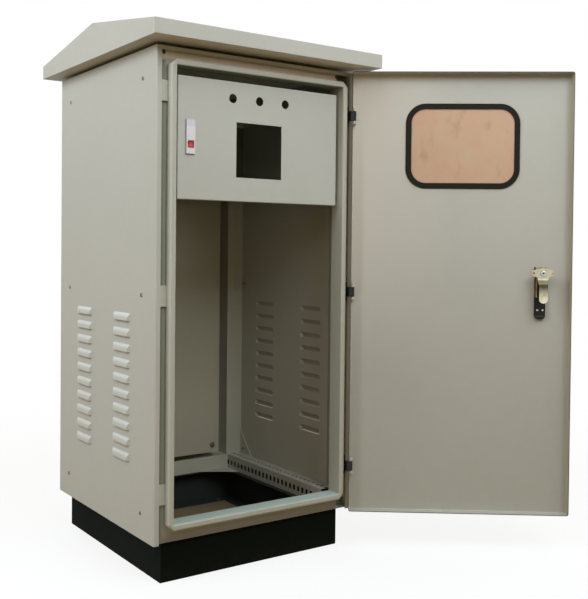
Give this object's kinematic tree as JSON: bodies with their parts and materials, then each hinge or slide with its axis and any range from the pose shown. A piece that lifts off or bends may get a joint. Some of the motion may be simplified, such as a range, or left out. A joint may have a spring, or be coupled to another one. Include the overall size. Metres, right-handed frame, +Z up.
{
  "type": "floor-standing outdoor control cabinet",
  "caption": "Outdoor sheet-steel control cabinet on a black plinth, with canopy roof, louvred sides, sunk rain gutter, windowed door with swing-handle lock, and instrument panel.",
  "frame": {"origin": "on the floor at the middle of the plinth, the centre of the anchor bolt pattern", "axes": "+X to the right when facing the front, +Y to the rear, +Z up; the door is hung at +X and stands open at rest"},
  "size_m": [1.1051, 1.0217, 1.392],
  "materials": {
    "body_paint": "fine-textured powder coat, satin",
    "frame_paint": "fine-textured powder coat, satin",
    "plinth_black": "textured powder coat, matt",
    "hinge_black": "coated die-casting, satin",
    "zinc_plate": "bright zinc plate",
    "yellow_zinc": "yellow passivated zinc plate",
    "black_rubber": "smooth, matt",
    "tan_film": "acrylic sheet under its tan protective film",
    "lock_black": "coated die-casting, satin",
    "housing_plastic": "moulded, satin",
    "cylinder_chrome": "plated, bright",
    "switch_white": "moulded, satin",
    "toggle_red": "moulded, glossy"
  },
  "bodies": {
    "cabinet": {"side_panel_left": "body_paint", "side_panel_right": "body_paint", "rear_panel": "body_paint", "cover": "body_paint", "roof": "body_paint", "roof_soffit": "body_paint", "front_frame": "frame_paint", "rear_post_left": "frame_paint", "rear_post_right": "frame_paint", "rear_rail_lower": "frame_paint", "rear_rail_upper": "frame_paint", "base_rail_left": "frame_paint", "base_rail_right": "frame_paint", "floor_gussets": "frame_paint", "wall_gussets": "frame_paint", "wall_brackets": "frame_paint", "instrument_panel": "frame_paint", "panel_brackets": "frame_paint", "mounting_plate": "frame_paint", "blank_plate_1": "frame_paint", "blank_plate_2": "frame_paint", "blank_plate_3": "frame_paint", "plinth_front": "plinth_black", "plinth_rear": "plinth_black", "plinth_left": "plinth_black", "plinth_right": "plinth_black", "hinge_bracket_1": "hinge_black", "hinge_bracket_2": "hinge_black", "hinge_bracket_3": "hinge_black", "side_screws_left": "zinc_plate", "side_screws_right": "zinc_plate", "rear_screws": "zinc_plate", "plate_standoffs": "zinc_plate", "plate_bolts": "zinc_plate", "roof_spacers": "zinc_plate", "roof_bolts": "zinc_plate", "switch_rail": "zinc_plate", "switch_body": "switch_white"},
    "toggle": {"switch_toggle": "toggle_red"},
    "door": {"door_pan": "body_paint", "window_gasket": "black_rubber", "window_pane": "tan_film", "lock_base": "lock_black", "lock_housing": "housing_plastic", "housing_screws": "zinc_plate", "lock_bracket": "yellow_zinc", "hinge_lugs_1": "body_paint", "hinge_lugs_2": "body_paint", "hinge_lugs_3": "body_paint", "hinge_pin_1": "zinc_plate", "hinge_pin_2": "zinc_plate", "hinge_pin_3": "zinc_plate"},
    "lock": {"lock_spindle": "zinc_plate", "lock_cam": "yellow_zinc", "cam_screw": "zinc_plate", "handle_hub": "lock_black", "handle_pin": "zinc_plate"},
    "handle": {"handle_lever": "lock_black", "lock_cylinder": "cylinder_chrome"}
  },
  "joints": [
    {"name": "door_hinge", "type": "hinge", "parent": "cabinet", "child": "door", "pos_m": [0.289, -0.3185, 0.753], "axis": [0, 0, 1], "range_deg": [-143.3, 36.7]},
    {"name": "lock_turn", "type": "hinge", "parent": "door", "child": "lock", "pos_m": [0.70196, -0.60948, 0.753], "axis": [-0.5976, -0.8018, 0], "range_deg": [0, 90]},
    {"name": "handle_lift", "type": "hinge", "parent": "lock", "child": "handle", "pos_m": [0.70325, -0.58935, 0.753], "axis": [0, 0, 1], "range_deg": [0, 30]},
    {"name": "toggle_throw", "type": "hinge", "parent": "cabinet", "child": "toggle", "pos_m": [-0.207, -0.2957, 1.0633], "axis": [-1, 0, 0], "range_deg": [0, 14]}
  ]
}
